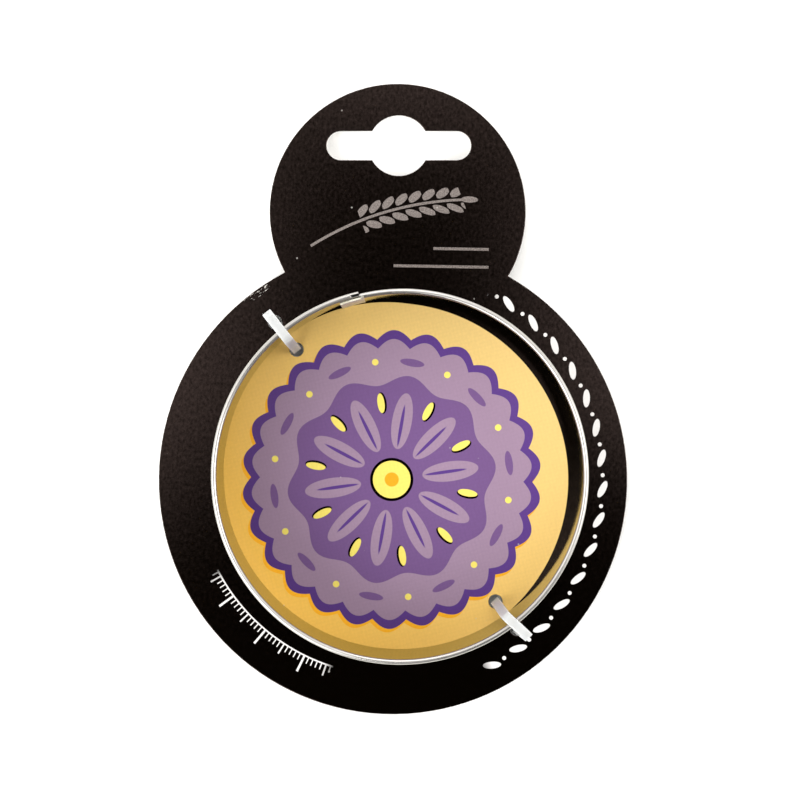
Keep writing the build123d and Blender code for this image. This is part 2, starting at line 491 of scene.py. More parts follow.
def biscuit(tree, spot, under):
    radius, turn = polar(tree, spot)
    shadow_radius, shadow_turn = polar(tree, placed(tree, spot, SHADOW_AT))
    shadow = wavy(tree, shadow_radius, shadow_turn, BISCUIT_RADIUS, FLUTES, FLUTE_DEPTH, True)
    edge = wavy(tree, radius, turn, BISCUIT_RADIUS, FLUTES, FLUTE_DEPTH, True)
    icing = wavy(tree, radius, turn, BISCUIT_RADIUS - BORDER, FLUTES, FLUTE_DEPTH, True)
    heart = wavy(tree, radius, turn, ICING_INSIDE, PETALS, ICING_WAVE, False)
    # yellow turns to gold towards the lower left, partly as painted shade
    towards_gold_and_shade = add_node(tree, "VectorMath", spot, (*GOLD_AND_SHADE_TOWARDS, 0.0), operation="DOT_PRODUCT")
    gold_and_shade_share = add_node(tree, "MapRange", towards_gold_and_shade, -FIELD_RADIUS, FIELD_RADIUS, 0.0, 1.0)
    field = add_node(tree, "Mix", gold_and_shade_share, YELLOW_INK, GOLD_AND_SHADE_INK, data_type="RGBA")
    bleed_radius = add_node(tree, "VectorMath", placed(tree, spot, BLEED_AT), operation="LENGTH")
    field_reach = either(tree, disc(tree, radius, FIELD_RADIUS), disc(tree, bleed_radius, BLEED_RADIUS))
    print_so_far = ink(tree, under, field_reach, field)
    print_so_far = ink(tree, print_so_far, shadow, ORANGE_INK)
    iced = ink(tree, DEEP_PURPLE_INK, icing, LILAC_INK)
    iced = ink(tree, iced, heart, PURPLE_INK)
    iced = rosette(tree, radius, turn, iced)
    # painted shade over the biscuit, lighter at the upper right and darker at the lower left
    shade = add_node(tree, "MapRange", towards_gold_and_shade, -BISCUIT_RADIUS, BISCUIT_RADIUS, *BISCUIT_SHADE)
    shaded = add_node(tree, "VectorMath", iced, named={"Scale": shade}, operation="SCALE")
    return ink(tree, print_so_far, edge, shaded), radius, turn


def rosette(tree, radius, turn, under):
    sector = folded(tree, radius, turn, PETALS, shift=-0.5)
    between_petals = folded(tree, radius, turn, PETALS, shift=0.5)
    petal = oval(tree, sector, (PETAL_AT, 0.0), 0.0, *PETAL)
    vein = oval(tree, sector, (VEIN_AT, 0.0), 0.0, *VEIN)
    hollow = oval(tree, between_petals, (SPRINKLES_AT, HOLLOW_ASIDE), 0.0, *SPRINKLE_HOLLOW)
    sprinkle = oval(tree, between_petals, (SPRINKLES_AT, 0.0), 0.0, *SPRINKLE)
    crumb = oval(tree, between_petals, (CRUMBS_AT, 0.0), 0.0, *CRUMB)
    leaf = oval(tree, sector, (CRUMBS_AT, 0.0), math.pi / 2, *LEAF)
    eye = [disc(tree, radius, size) for size in EYE_RADII]
    shapes = (
        (petal, LILAC_INK),
        (vein, DEEP_PURPLE_INK),
        (hollow, BLACK_INK),
        (sprinkle, PALE_INK),
        (crumb, PALE_INK),
        (leaf, PURPLE_INK),
        (eye[0], BLACK_INK),
        (eye[1], PALE_INK),
        (eye[2], ORANGE_INK),
    )
    for reach, tint in shapes:
        under = ink(tree, under, reach, tint)
    return under


# %% [markdown]
# ## The ornaments on the black
#
# There are three: an ear of wheat and two rules on the lobe, leaves and dots along the right edge,
# and a ruler in millimetres at the lower left. The ear's grains repeat along its stem, so the place
# along the stem is wrapped to one grain, and the place across it is mirrored. On the two arcs the
# length along the arc is what is wrapped.

# %% Ear, leaves and ruler
SILVER_INK = colour("7C7470")
WHITE_INK = colour("F4F2F0")
EAR_AT = (-6.0, 55.6)
EAR_TURN = math.radians(21)
EAR_BEND = 0.008
EAR_PITCH = 2.9
EAR_SPAN = (-1.6, 20.2)
GRAIN = (1.75, 0.78)
GRAIN_TURN = math.radians(30)
STEM_SPAN = (-13.5, 20.0)
STEM_HALF_WIDTH = 0.28
TIP_AT = 21.6
TIP = (1.7, 0.7)
RULES_END = 19.8
RULE_WIDTH = 0.6
RULE_STARTS = ((8.0, 49.0), (-0.4, 45.2))
ARC_RADIUS = 44.9
ARC_PITCH = 6.6
ARC_START = 0.4
ARC_REACH = math.radians(62)
ARC_LEAF_AT = -0.9
ARC_LEAF = (1.9, 0.72)
ARC_LEAF_TURN = math.radians(24)
ARC_DOT_AT = 2.1
ARC_DOT = (0.42, 0.42)
RULER_RADIUS = 41.9
RULER_MIDDLE = math.radians(-129)
RULER_REACH = math.radians(21)
RULER_LINE = 0.3
RULER_MARKS = ((1.0, 1.3, 0.22), (5.0, 2.3, 0.3), (10.0, 3.6, 0.42))


def ear_of_wheat(tree, spot):
    local = placed(tree, spot, EAR_AT, EAR_TURN)
    parts = add_node(tree, "SeparateXYZ", local)
    along = parts.outputs["X"]
    square = add_node(tree, "Math", along, 2.0, operation="POWER")
    across = add_node(tree, "Math", square, EAR_BEND, parts.outputs["Y"], operation="MULTIPLY_ADD")
    side = add_node(tree, "Math", across, operation="SIGN")
    off = add_node(tree, "Math", across, operation="ABSOLUTE")
    staggered = add_node(tree, "Math", side, EAR_PITCH / 4, along, operation="MULTIPLY_ADD")
    wrapped = add_node(tree, "Math", staggered, EAR_PITCH / 2, -EAR_PITCH / 2, operation="WRAP")
    one_grain = add_node(tree, "CombineXYZ", wrapped, off)
    grain = oval(tree, one_grain, (0.0, GRAIN[0]), GRAIN_TURN, *GRAIN)
    grains = both(tree, grain, between(tree, along, *EAR_SPAN))
    stem_width = between(tree, across, -STEM_HALF_WIDTH, STEM_HALF_WIDTH)
    stem = both(tree, stem_width, between(tree, along, *STEM_SPAN))
    tip = oval(tree, add_node(tree, "CombineXYZ", along, across), (TIP_AT, 0.0), 0.0, *TIP)
    return either(tree, either(tree, grains, stem), tip)


def ruled_lines(tree, spot):
    parts = add_node(tree, "SeparateXYZ", spot)
    lines = []
    for left, low in RULE_STARTS:
        along = between(tree, parts.outputs["X"], left, RULES_END)
        lines.append(both(tree, along, between(tree, parts.outputs["Y"], low, low + RULE_WIDTH)))
    return either(tree, *lines)


def leaf_border(tree, radius, turn):
    length = add_node(tree, "Math", turn, ARC_RADIUS, ARC_START, operation="MULTIPLY_ADD")
    wrapped = add_node(tree, "Math", length, ARC_PITCH / 2, -ARC_PITCH / 2, operation="WRAP")
    height = add_node(tree, "Math", radius, ARC_RADIUS, operation="SUBTRACT")
    local = add_node(tree, "CombineXYZ", wrapped, height)
    leaf = oval(tree, local, (ARC_LEAF_AT, 0.0), ARC_LEAF_TURN, *ARC_LEAF)
    dot = oval(tree, local, (ARC_DOT_AT, 0.0), 0.0, *ARC_DOT)
    window = between(tree, turn, -ARC_REACH, ARC_REACH)
    return both(tree, either(tree, leaf, dot), window)


def ruler(tree, radius, turn):
    from_middle = add_node(tree, "Math", turn, RULER_MIDDLE, operation="SUBTRACT")
    length = add_node(tree, "Math", from_middle, RULER_RADIUS, operation="MULTIPLY")
    height = add_node(tree, "Math", radius, RULER_RADIUS, operation="SUBTRACT")
    marks = between(tree, height, -RULER_LINE, 0.0)
    for pitch, tall, wide in RULER_MARKS:
        wrapped = add_node(tree, "Math", length, pitch / 2, -pitch / 2, operation="WRAP")
        mark = both(tree, between(tree, wrapped, -wide / 2, wide / 2), between(tree, height, 0.0, tall))
        marks = either(tree, marks, mark)
    return both(tree, marks, between(tree, from_middle, -RULER_REACH, RULER_REACH))


# %% [markdown]
# ## Wear on the card
#
# Black laminate shows every knock. Where the die or a bump has broken the film, along the edge, the
# white board shows, most of all in the corner at the upper left. The distance from the edge of a
# round and a lobe together is the larger of the two distances, and a noise breaks it up.

# %% Scuffs and specks
SCUFF_AT = (-29.6, 39.6)
SCUFF_SIZE = (3.4, 1.2)
SCUFF_TURN = math.radians(36)
CRACK = (2.2, 0.5)
CRACKED_ABOVE = 0.6
RIM_WEAR = (0.9, -0.52)
CHIPS_PER_MM = 1.4
DUST_PER_MM = 0.16
DUST_RADIUS = 0.011


def scuffs(tree, spot):
    radius = add_node(tree, "VectorMath", spot, operation="LENGTH")
    lobe_spot = placed(tree, spot, tuple(c / MM for c in (lobe_middle - round_middle).xy))
    lobe_radius = add_node(tree, "VectorMath", lobe_spot, operation="LENGTH")
    in_round = disc(tree, radius, round_radius / MM)
    in_lobe = disc(tree, lobe_radius, LOBE_RADIUS / MM)
    from_edge = either(tree, in_round, in_lobe)
    chips = add_node(tree, "TexNoise", spot, CHIPS_PER_MM, 4.0, 0.75)
    rim_wear = add_node(tree, "Math", chips, *RIM_WEAR, operation="MULTIPLY_ADD")
    rim_scuffs = add_node(tree, "Math", rim_wear, from_edge, operation="SUBTRACT")
    knock = oval(tree, spot, SCUFF_AT, SCUFF_TURN, *SCUFF_SIZE)
    strokes = placed(tree, spot, SCUFF_AT, SCUFF_TURN, CRACK)
    cracks = add_node(tree, "TexNoise", strokes, 1.5, 3.0, 0.7)
    crack_lines = add_node(tree, "Math", cracks, CRACKED_ABOVE, operation="SUBTRACT")
    knock_scuffs = both(tree, knock, crack_lines)
    dust = add_node(tree, "TexVoronoi", spot, named={"Scale": DUST_PER_MM})
    specks = add_node(tree, "Math", DUST_RADIUS, dust, operation="SUBTRACT")
    return either(tree, either(tree, rim_scuffs, knock_scuffs), specks)


# %% [markdown]
# ## Laminated print
#
# Over the inks lies a clear polyester film with a soft sheen and a faint orange peel. The shader's
# reflection, with its index of refraction, is the film's, and its base colour is the ink's. The grain
# of the board shows through the film as a fine mottle in the sheen. The sheet was printed 0.3 mm off
# the die, so everything printed is shifted by that much. The fine screen of the print, really about
# 0.17 mm, is drawn at 0.8 mm, because a finer one can't be seen from here. Silver ink is speckled.

# %% Printed and laminated board
PRINT_SHIFT = (-0.27, 0.11)
SCREEN_PITCH = 0.8
SCREEN_TURN = math.radians(15)
FLAKES_PER_MM = 3.4
SCUFF_INK = colour("CFCBC4")
BOARD_GRAIN = (0.6, 0.9)
BOARD_GRAIN_TURN = math.radians(-2)
PEEL_PER_MM = 1.1
FILM_ROUGHNESS = (0.08, 0.11)
FILM_SHINE = (0.2, 0.8)
FILM_IOR = 1.58
FILM_TINT = colour("FFDCD3")


def printed_board():
    material, tree = new_material("laminated_offset_printed_board")
    place = add_node(tree, "TexCoord").outputs["Object"]
    to_mm = tuple(-c / MM for c in round_middle)
    scale = {"Location": to_mm, "Scale": (1 / MM,) * 3}
    spot = add_node(tree, "Mapping", place, named=scale, vector_type="POINT")
    flat = add_node(tree, "VectorMath", spot, (1.0, 1.0, 0.0), operation="MULTIPLY")
    sheet_place = placed(tree, flat, PRINT_SHIFT)
    print_so_far, radius, turn = biscuit(tree, sheet_place, BLACK_INK)
    grid = placed(tree, sheet_place, (0.0, 0.0), SCREEN_TURN, (SCREEN_PITCH, SCREEN_PITCH))
    screen = add_node(tree, "TexVoronoi", grid, named={"Scale": 1.0, "Randomness": 0.0})
    screen_tone = add_node(tree, "MapRange", screen, 0.0, 0.7, 1.015, 0.97)
    screened = {"Scale": screen_tone}
    print_so_far = add_node(tree, "VectorMath", print_so_far, named=screened, operation="SCALE")
    speckle = add_node(tree, "TexNoise", flat, FLAKES_PER_MM, 2.0, 0.9)
    speckle_tone = add_node(tree, "MapRange", speckle, 0.38, 0.62, 0.55, 1.3)
    silver = add_node(tree, "VectorMath", SILVER_INK[:3], named={"Scale": speckle_tone}, operation="SCALE")
    silver_shapes = either(tree, ear_of_wheat(tree, sheet_place), ruled_lines(tree, sheet_place))
    print_so_far = ink(tree, print_so_far, silver_shapes, silver)
    print_so_far = ink(tree, print_so_far, leaf_border(tree, radius, turn), WHITE_INK)
    print_so_far = ink(tree, print_so_far, ruler(tree, radius, turn), WHITE_INK)
    print_so_far = ink(tree, print_so_far, scuffs(tree, flat), SCUFF_INK)
    along_grain = placed(tree, flat, (0.0, 0.0), BOARD_GRAIN_TURN, BOARD_GRAIN)
    grain = add_node(tree, "TexNoise", along_grain, 1.0, 3.0, 0.7)
    film_rough = add_node(tree, "MapRange", grain, 0.3, 0.7, *FILM_ROUGHNESS)
    film_shine = add_node(tree, "MapRange", grain, 0.3, 0.7, *FILM_SHINE)
    peel = add_node(tree, "TexNoise", flat, PEEL_PER_MM, 2.0, 0.5)
    relief = add_node(tree, "Bump", 0.12, named={"Height": peel, "Distance": BUMP_STEP})
    film = {
        "Normal": relief,
        "IOR": FILM_IOR,
        "Specular IOR Level": film_shine,
        "Specular Tint": FILM_TINT,
    }
    board = add_node(tree, "BsdfPrincipled", print_so_far, 0.0, film_rough, named=film)
    close_material(tree, board)
    return material


print_film = printed_board()

# %% [markdown]
# ## The card
#
# A die punches the card out, with its slot and its four holes. The model has that outline already, so
# the piece starts from a copy of it: the loose triangles are merged, and what is flat is made one face.
# The die rolls the laminate over at the edge, and a small bevel there catches the light.

# %% Die-cut card
EDGE_ROLL = 0.14 * MM
FILM_LAP = 1.2 * EDGE_ROLL
DOWNWARDS = -0.3
FACE_SLOTS = {"print": 0, "core": 1, "back": 2}


def die_cut_card():
    source = frame["nodes"]["hang_card"]
    card = bpy.data.objects.new("printed_card", source.data.copy())
    bpy.context.scene.collection.objects.link(card)
    only(card)
    bpy.ops.mesh.customdata_custom_splitnormals_clear()
    bpy.ops.object.mode_set(mode="EDIT")
    bpy.ops.mesh.select_all(action="SELECT")
    bpy.ops.mesh.remove_doubles(threshold=NEAR)
    bpy.ops.mesh.dissolve_limited(angle_limit=math.radians(0.5))
    bpy.ops.object.mode_set(mode="OBJECT")
    sharp = {"limit_method": "ANGLE", "angle_limit": math.radians(50)}
    apply_modifier(card, "BEVEL", width=EDGE_ROLL, segments=3, **sharp)
    card.data.materials.clear()
    for material in (print_film, board_core_dark_as_shade, board_back):
        card.data.materials.append(material)
    for face in card.data.polygons:
        laminated = face.center.z > card_high.z - FILM_LAP
        underneath = face.normal.z < DOWNWARDS
        side = "print" if laminated else "back" if underneath else "core"
        face.material_index = FACE_SLOTS[side]
    close_piece(card, turn_outwards=False)
    apply_modifier(card, "WEIGHTED_NORMAL", keep_sharp=True)
    return card


card = die_cut_card()
dress(card, "card", "printed_board", "hang_card")

# %% [markdown]
# ## The band
#
# The maker rolls one edge of a strip into a bead, bends the strip round and laps its ends. The same
# can be done here: a circle, opened and drawn down at one side, is the strip's profile, and it is spun
# round. Most of the ring is spun about the ring's axis. The last fifth is spun about a point a little
# off it, so that this end runs in under the other one, and there the bead stops and only the flat
# strip goes on as the tab. Solidify then gives the sheet its thickness.

# %% Sizes of the strip
BORE = 75.0 * MM
SHEET = 0.35 * MM
BEAD = 1.1 * MM
BEAD_STEPS = 36
BEAD_OPEN_FROM = 185
BEAD_OPEN_TO = 255
TAB_DROP = 0.75 * MM
TAB_LENGTH = 4.2 * MM
LAP_GAP = 0.17 * MM
BEAD_GAP = 0.3 * MM
SEAM_ANGLE = 103.8
RUN_IN = 75
WELD_RUN = 8
FINE_STEPS = 4
EDGE_BEVEL = 0.6 * MM
EDGE_LAND = 0.15 * MM

bore_radius = BORE / 2
curl_radius = (BEAD - SHEET) / 2
bead_x = bore_radius + BEAD / 2
bead_z = band_height - BEAD / 2
shrink = (SHEET + LAP_GAP) / (1 - math.cos(math.radians(RUN_IN)))
run_in_radius = bore_radius - shrink
run_in_shift = math.degrees(math.asin(shrink * math.sin(math.radians(RUN_IN)) / run_in_radius))
bead_run = RUN_IN + run_in_shift - math.degrees(BEAD_GAP / bore_radius)
tab_run = RUN_IN + run_in_shift + math.degrees(TAB_LENGTH / bore_radius) - bead_run
print("the tab goes on for", round(tab_run, 2), "degrees past the bead")

# %% Profile of the strip
def curl_angle(vertex):
    return math.degrees(math.atan2(vertex.co.z - bead_z, vertex.co.x - bead_x)) % 360


def strip_profile():
    bpy.ops.object.select_all(action="DESELECT")
    bpy.ops.mesh.primitive_circle_add(
        vertices=BEAD_STEPS, radius=curl_radius, location=(bead_x, 0, bead_z), rotation=(math.pi / 2, 0, 0)
    )
    strip = open_piece("rolled_band")
    pick(strip, "VERT", lambda v: BEAD_OPEN_FROM - 1 < curl_angle(v) < BEAD_OPEN_TO + 1)
    bpy.ops.mesh.delete(type="VERT")
    pick(strip, "VERT", lambda v: abs(curl_angle(v) - 180) < 1)
    heights = (bead_z, band_height - TAB_DROP, EDGE_BEVEL, 0)
    for above, below in zip(heights, heights[1:]):
        bpy.ops.mesh.extrude_vertices_move(TRANSFORM_OT_translate={"value": (0, 0, below - above)})
    print("profile points", len(bmesh.from_edit_mesh(strip.data).verts))
    return strip


strip = strip_profile()

# %% Spin the profile round
def spin(degrees, steps, axis_x=0.0):
    # Blender counts a spin clockwise about +Z
    bpy.ops.mesh.spin(steps=steps, angle=math.radians(-degrees), center=(axis_x, 0, 0), axis=(0, 0, 1))


plain_run = 360 - RUN_IN - WELD_RUN
bpy.ops.mesh.select_all(action="SELECT")
spin(-plain_run, plain_run)
spin(-WELD_RUN, WELD_RUN * FINE_STEPS)
pick(strip, "VERT", lambda v: abs(v.co.y) < NEAR and v.co.x > 0)
spin(bead_run, round(bead_run), shrink)
pick(strip, "VERT", lambda v: v.select and v.co.z < band_height - TAB_DROP + NEAR)
spin(tab_run, round(tab_run * FINE_STEPS), shrink)
bpy.ops.mesh.select_all(action="SELECT")
bpy.ops.mesh.remove_doubles(threshold=NEAR)
bpy.ops.mesh.normals_make_consistent(inside=False)
bpy.ops.object.mode_set(mode="OBJECT")
apply_modifier(strip, "SOLIDIFY", thickness=SHEET, offset=0, use_even_offset=True)
print("strip box in mm", in_mm(strip.bound_box[0]), in_mm(strip.bound_box[6]))

# %% [markdown]
# ## Cutting edge and weld dents
#
# The lower edge is bevelled on the outside, so that it cuts: the outer corner of the sheet is drawn
# in towards the ring's axis. The welding electrodes leave a shallow round dent on each face of the
# lap. A dent is one vertex pushed in, with the ones round it following less and less. They have also
# pressed the last 1.7 mm of the outer bead flat on its inner side. The strip then gets three finishes:
# bright on the wall, matt on the bead, and hammered on the welded face of the tab.

# %% Bevel the cutting edge
outer_face = bore_radius + SHEET
only(strip)
bpy.ops.object.mode_set(mode="EDIT")
edge_points = pick(strip, "VERT", lambda v: v.co.z < NEAR and v.normal.xy.dot(v.co.xy) > 0)
edge_share = (bore_radius + EDGE_LAND) / outer_face
bpy.ops.transform.resize(value=(edge_share, edge_share, 1), center_override=(0, 0, 0))
print("cutting edge has", edge_points, "points")

# %% Press the weld dents
WELD_COLUMNS = 2
WELD_ROWS = 3
DENT_RADIUS = 0.65 * MM
DENT_DEPTH = 0.08 * MM
DENT_RINGS = 4
LAP_MARGIN = 0.5
OUTWARDS = 0.5

lap_angle = math.degrees(TAB_LENGTH / bore_radius)
tab_top = band_height - TAB_DROP


def angle_of(spot):
    return math.degrees(math.atan2(spot.y, spot.x))


def in_lap(face):
    spot = middle(face)
    return RUN_IN - LAP_MARGIN < angle_of(spot) < RUN_IN + WELD_RUN


def cut_rings(height):
    for ring in range(-DENT_RINGS - 1, DENT_RINGS + 2):
        pick(strip, "FACE", in_lap)
        level = height + ring * DENT_RADIUS / DENT_RINGS
        bpy.ops.mesh.bisect(plane_co=(0, 0, level), plane_no=(0, 0, 1))


def press_dent(angle, height, radius, push):
    outwards = Vector((math.cos(angle), math.sin(angle), 0))
    target = outwards * radius + Vector((0, 0, height))
    shape = bmesh.from_edit_mesh(strip.data)
    nearest = min((v.co - target).length for v in shape.verts)
    pick(strip, "VERT", lambda v: (v.co - target).length < nearest + NEAR)
    bpy.ops.transform.translate(
        value=outwards * push,
        use_proportional_edit=True,
        use_proportional_connected=True,
        proportional_edit_falloff="SMOOTH",
        proportional_size=DENT_RADIUS,
    )


weld_heights = [tab_top * (row + 0.5) / WELD_ROWS for row in range(WELD_ROWS)]
for height in weld_heights:
    cut_rings(height)
for column in range(WELD_COLUMNS):
    angle = math.radians(RUN_IN + lap_angle * (column + 0.5) / WELD_COLUMNS)
    for height in weld_heights:
        press_dent(angle, height, outer_face, -DENT_DEPTH)
        press_dent(angle, height, bore_radius - LAP_GAP - SHEET, DENT_DEPTH)
bpy.ops.object.mode_set(mode="OBJECT")

# %% Flatten the end of the bead
PRESSED_RUN = 2.6
PRESSED_FROM = 0.1
PRESSED_DEPTH = 0.17 * MM
PRESSED_TO = 0.15 * MM


def in_pressed_end(vertex):
    inner_side = vertex.co.xy.length < bead_x + PRESSED_TO
    in_run = RUN_IN - PRESSED_FROM < angle_of(vertex.co) < RUN_IN + PRESSED_RUN
    return inner_side and in_run and vertex.co.z > pressed_height


pressed_height = band_height - PRESSED_DEPTH
only(strip)
bpy.ops.object.mode_set(mode="EDIT")
pressed_points = pick(strip, "VERT", in_pressed_end)
bpy.ops.transform.resize(value=(1, 1, 0), center_override=(0, 0, pressed_height))
bpy.ops.object.mode_set(mode="OBJECT")
print("pressed end of the bead has", pressed_points, "points")

# %% Three finishes on one strip
WELD_MARGIN = 1.2


def on_welded_face(face):
    spot = middle(face)
    in_tab = spot.xy.length < bore_radius - LAP_GAP / 2
    in_run = RUN_IN - WELD_MARGIN < angle_of(spot) < RUN_IN + WELD_RUN
    faces_out = face.normal.xy.dot(spot.xy.normalized()) > OUTWARDS
    return in_tab and in_run and not faces_out


def on_rolled_bead(face):
    spot = middle(face)
    pressed = abs(spot.z - pressed_height) < NEAR
    return spot.z > band_height - BEAD and spot.xy.length > bore_radius and not pressed


for finish in (steel, weld, bead_steel):
    strip.data.materials.append(finish)
bpy.ops.object.mode_set(mode="EDIT")
for slot, test in ((1, on_welded_face), (2, on_rolled_bead)):
    found = pick(strip, "FACE", test)
    strip.active_material_index = slot
    bpy.ops.object.material_slot_assign()
    print(strip.data.materials[slot].name, "covers", found, "faces")
bpy.ops.object.mode_set(mode="OBJECT")

# %% Put the band in its place
strip.rotation_euler = (0, 0, math.radians(SEAM_ANGLE - RUN_IN))
strip.location = ring_axis
settle(strip)
close_piece(strip)
dress(strip, "cutter", "stainless_band", "cutter_band")
frame["nodes"]["seam_spot_welds"].material_slots[0].material = weld

# %% [markdown]
# ## The ties
#
# A cable tie is one nylon moulding: a strap with teeth, and a head with a mouth that the strap's tail
# is pushed through. The strap is modelled straight, as it comes from the mould, from one short cell
# with a tooth that repeats every half millimetre. A curve modifier then bends it along the closed
# loop: from the head along the back of the card, up the inner hole, over the rim and down the outer
# hole. The loop's line is drawn leg by leg, and its corners are rounded by bevelling their points.
# At the lower right the outer leg leans aside and twists a little. The teeth lie on the face that the
# bend turns inwards.

# %% Sizes of the ties
HOLES_MIDDLE = Vector((0.64, -16.28, 0)) * MM
HOLES_ANGLE = 129.3
INNER_HOLE = 34.15 * MM
OUTER_HOLE = 41.55 * MM
STRAP_WIDTH = 2.0 * MM
STRAP_THICKNESS = 0.9 * MM
END_BEND = 0.9 * MM
RIM_BEND = 1.2 * MM
SLACK_BEND = 8.0 * MM
BACK_PLAY = 0.1 * MM
RIM_PLAY = 0.4 * MM
RIM_FALL = 0.25 * MM
BAND_PLAY = 1.15 * MM
TAIL_RECESS = 0.25 * MM
TOOTH_PITCH = 0.5 * MM
TOOTH_LENGTH = 0.28 * MM
TOOTH_DEPTH = 0.12 * MM
TOOTH_SLOPE_SHARE = 0.6
RAIL = 0.25 * MM
STRAP_ROUND = 0.12 * MM
HEAD_LENGTH = 4.6 * MM
HEAD_WIDTH = 4.4 * MM
BEND_STEPS = 10

head_height = card_low.z
rim_top = band_high.z


# %% The line of the loop
def loop_corners(shoulder, leans):
    back = card_low.z - BACK_PLAY - STRAP_THICKNESS / 2
    leg = card_high.z + END_BEND
    rim = rim_top + RIM_PLAY + STRAP_THICKNESS / 2
    inner_aside, outer_aside = [math.tan(math.radians(lean)) * (rim - card_high.z) for lean in leans]
    inside_wall = bore_radius - BAND_PLAY - STRAP_THICKNESS / 2
    return (
        (Vector((OUTER_HOLE - HEAD_LENGTH / 2 + END_BEND / 2, 0, back)), 0),
        (Vector((INNER_HOLE, 0, back)), END_BEND),
        (Vector((INNER_HOLE, 0, leg)), SLACK_BEND),
        (Vector((inside_wall, inner_aside, rim)), RIM_BEND),
        (Vector((OUTER_HOLE + shoulder, outer_aside, rim - RIM_FALL)), RIM_BEND),
        (Vector((OUTER_HOLE, 0, leg)), SLACK_BEND),
        (Vector((OUTER_HOLE, 0, TAIL_RECESS)), 0),
    )


def loop_line(name, shoulder, leans, twist):
    corners = loop_corners(shoulder, leans)
    points = [point for point, bend in corners]
    bpy.ops.object.select_all(action="DESELECT")
    bpy.ops.mesh.primitive_plane_add(size=MM, location=points[0])
    line = open_piece(name)
    bpy.ops.mesh.merge(type="CENTER")
    for start, end in zip(points, points[1:]):
        bpy.ops.mesh.extrude_vertices_move(TRANSFORM_OT_translate={"value": end - start})
    for i, (corner, bend) in enumerate(corners):
        if bend:
            turn = (corner - points[i - 1]).angle(points[i + 1] - corner)
            pick(line, "VERT", lambda v: (v.co - corner).length < NEAR)
            reach = bend * math.tan(turn / 2)
            bpy.ops.mesh.bevel(affect="VERTICES", offset=reach, segments=BEND_STEPS, profile=0.5)
    bpy.ops.object.mode_set(mode="OBJECT")
    bpy.ops.object.convert(target="CURVE")
    line = bpy.context.object
    if (line.data.splines[0].points[0].co.xyz - points[0]).length > NEAR:
        bpy.ops.object.mode_set(mode="EDIT")
        bpy.ops.curve.select_all(action="SELECT")
        bpy.ops.curve.switch_direction()
        bpy.ops.object.mode_set(mode="OBJECT")
    spline = line.data.splines[0]
    steps = [(b.co.xyz - a.co.xyz).length for a, b in zip(spline.points[:], spline.points[1:])]
    for point in spline.points:
        over_rim = max(0.0, (point.co.z - card_high.z) / (rim_top - card_high.z))
        point.tilt = math.radians(twist) * over_rim
    print(name, "is", round(sum(steps) / MM, 2), "mm long")
    return line, sum(steps)


# %% The straight strap
def strap_cell(length, with_tooth):
    bpy.ops.object.select_all(action="DESELECT")
    size = (length, STRAP_WIDTH, STRAP_THICKNESS)
    bpy.ops.mesh.primitive_cube_add(size=1, location=(length / 2, 0, 0), scale=size)
    cell = open_piece("strap_cell")
    pick(cell, "FACE", lambda f: abs(f.normal.x) > SQUARE_ON)
    bpy.ops.mesh.delete(type="ONLY_FACE")
    pick(cell, "EDGE", lambda e: abs(middle(e).x - length / 2) < NEAR)
    bpy.ops.mesh.bevel(offset=STRAP_ROUND, segments=3, affect="EDGES")
    for side in (-1, 1):
        slice_all((0, side * (STRAP_WIDTH / 2 - RAIL), 0), (0, 1, 0))
    if with_tooth:
        cut_tooth(cell, length)
    bpy.ops.object.mode_set(mode="OBJECT")
    return cell


def cut_tooth(cell, length):
    top = STRAP_THICKNESS / 2
    slice_all((TOOTH_LENGTH, 0, 0), (1, 0, 0))

    def in_groove(face):
        spot = middle(face)
        in_track = abs(spot.y) < STRAP_WIDTH / 2 - RAIL
        return face.normal.z > SQUARE_ON and in_track and spot.x > TOOTH_LENGTH

    pick(cell, "FACE", in_groove)
    bpy.ops.mesh.extrude_region_move(TRANSFORM_OT_translate={"value": (0, 0, -TOOTH_DEPTH)})
    pick(cell, "VERT", lambda v: abs(v.co.z - top + TOOTH_DEPTH) < NEAR and v.co.x < TOOTH_LENGTH + NEAR)
    bpy.ops.transform.translate(value=(0, 0, TOOTH_SLOPE_SHARE * TOOTH_DEPTH))


def row_of(cell, length, count):
    settings = {
        "count": count,
        "use_relative_offset": False,
        "use_constant_offset": True,
        "constant_offset_displace": (length, 0, 0),
        "use_merge_vertices": True,
        "merge_threshold": NEAR,
    }
    apply_modifier(cell, "ARRAY", **settings)


def straight_strap(name, total):
    count = round(total / TOOTH_PITCH)
    length = total / count
    outward_run = rim_top + OUTER_HOLE - INNER_HOLE
    toothed = round(outward_run / length)
    plain_row = strap_cell(length, False)
    row_of(plain_row, length, count - toothed)
    toothed_row = strap_cell(length, True)
    row_of(toothed_row, length, toothed)
    toothed_row.location.x = (count - toothed) * length
    settle(toothed_row)
    only(plain_row)
    toothed_row.select_set(True)
    bpy.ops.object.join()
    strap = bpy.context.object
    strap.name = strap.data.name = name
    bpy.ops.object.mode_set(mode="EDIT")
    bpy.ops.mesh.select_all(action="SELECT")
    bpy.ops.mesh.remove_doubles(threshold=NEAR)
    bpy.ops.mesh.fill_holes(sides=0)
    bpy.ops.mesh.normals_make_consistent(inside=False)
    bpy.ops.object.mode_set(mode="OBJECT")
    print(name, "has", count, "cells,", toothed, "with a tooth")
    return strap


# %% The head
HEAD_ROUND = 0.4 * MM
HEAD_TOP_ROUND = 0.15 * MM
MOUTH_PLAY = 0.3 * MM
MOUTH_SIDE_PLAY = 0.2 * MM


